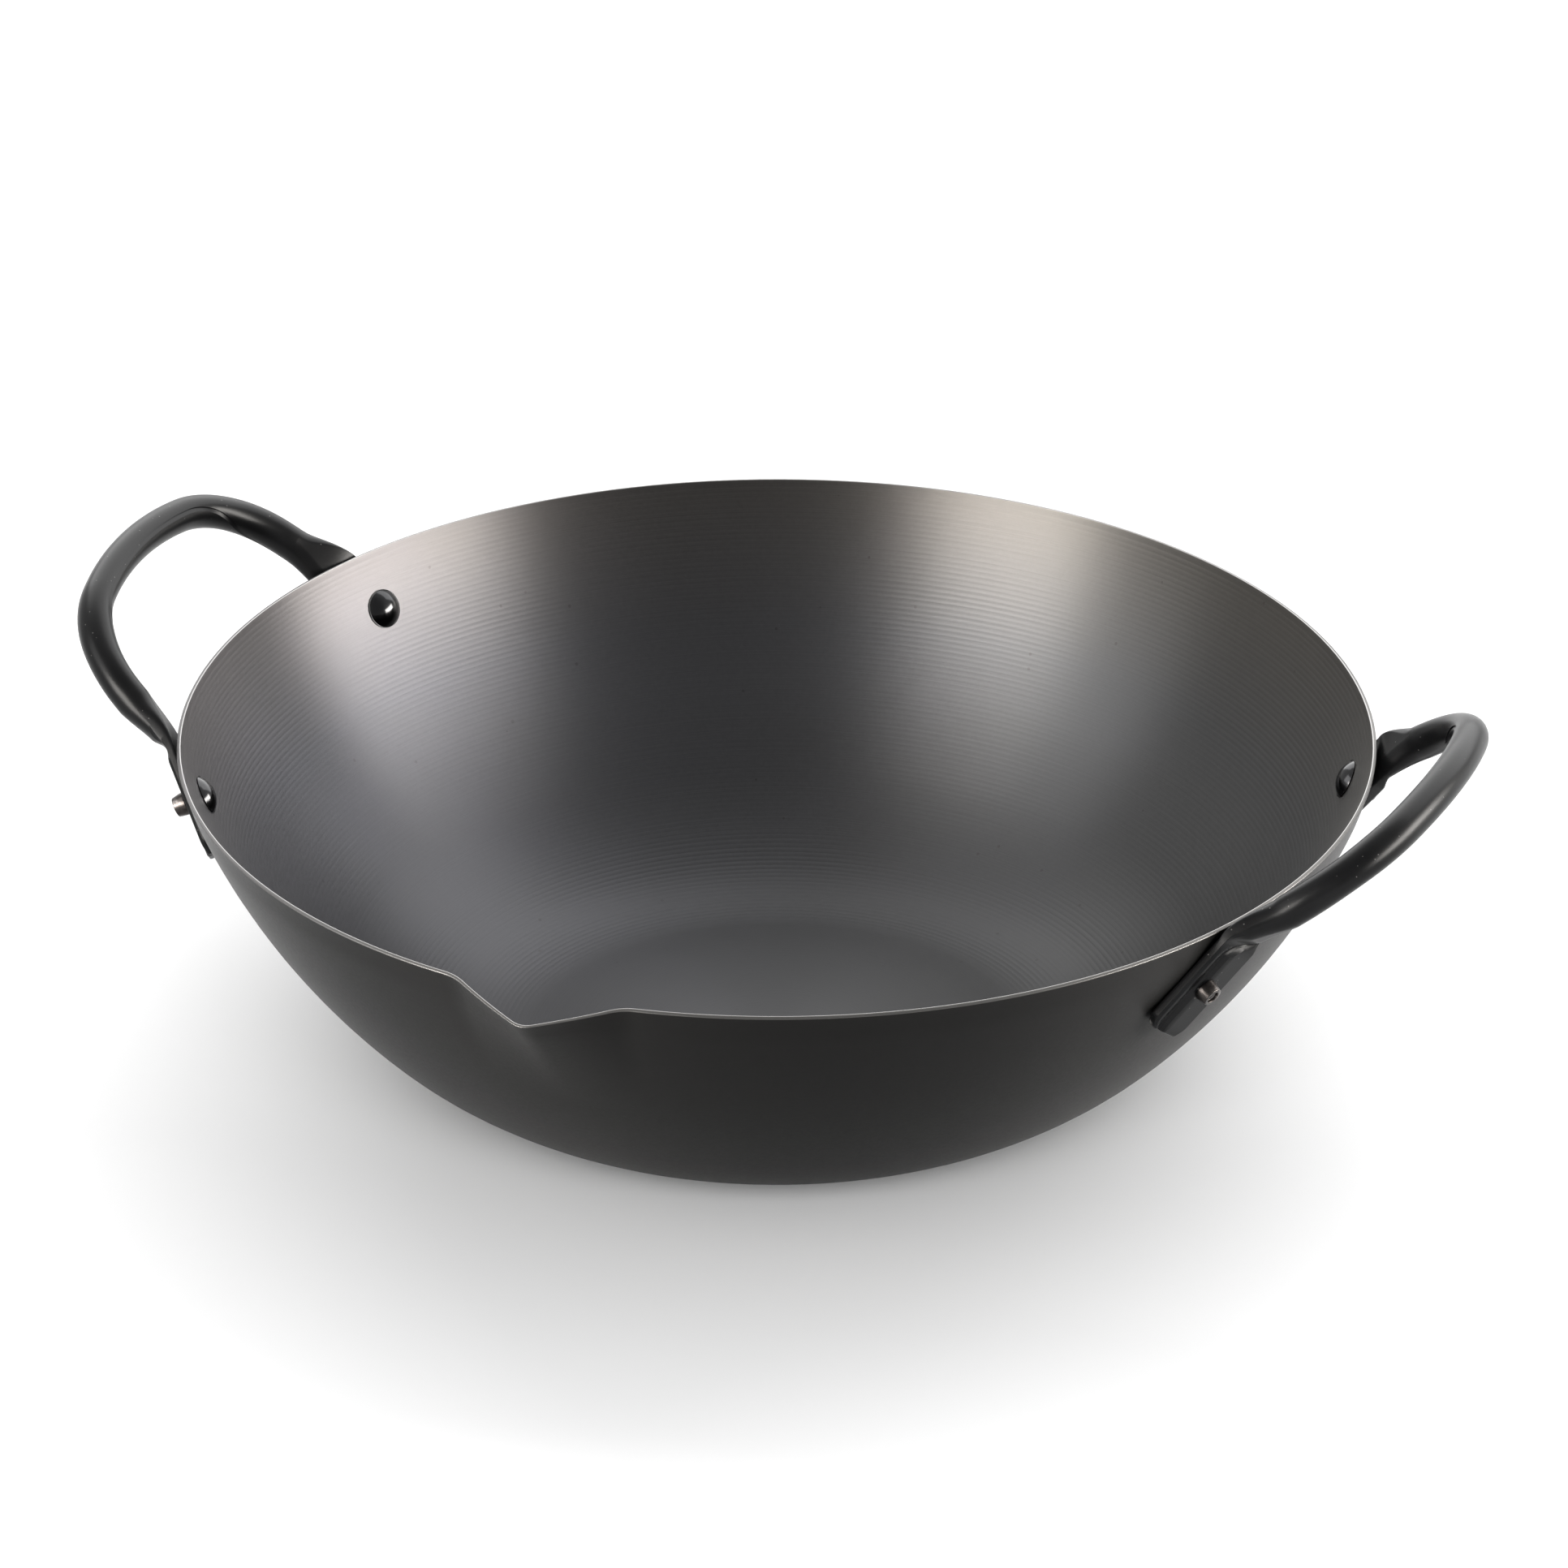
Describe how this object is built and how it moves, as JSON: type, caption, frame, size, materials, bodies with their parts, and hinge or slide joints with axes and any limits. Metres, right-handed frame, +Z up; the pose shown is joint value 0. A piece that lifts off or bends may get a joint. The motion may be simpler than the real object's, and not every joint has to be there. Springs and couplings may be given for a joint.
{
  "type": "wok",
  "caption": "Flat-bottomed carbon steel wok with a pressed pouring lip, and tubular loop handles riveted to its wall on both sides.",
  "frame": {"origin": "middle of the flat base, on the surface that the wok stands on", "axes": "+Z up out of the bowl, X from the left handle to the right handle, the pouring lip toward -Y"},
  "size_m": [0.396, 0.34, 0.1228],
  "materials": {
    "carbon_steel": "dark satin carbon steel, fine turned rings inside",
    "handle_finish": "satin black",
    "rivet_steel": "polished dark steel head, bare tail"
  },
  "bodies": {
    "root": {"bowl": "carbon_steel", "handle_left": "handle_finish", "handle_right": "handle_finish", "rivet_left_front": "rivet_steel", "rivet_left_rear": "rivet_steel", "rivet_right_front": "rivet_steel", "rivet_right_rear": "rivet_steel"}
  },
  "joints": []
}
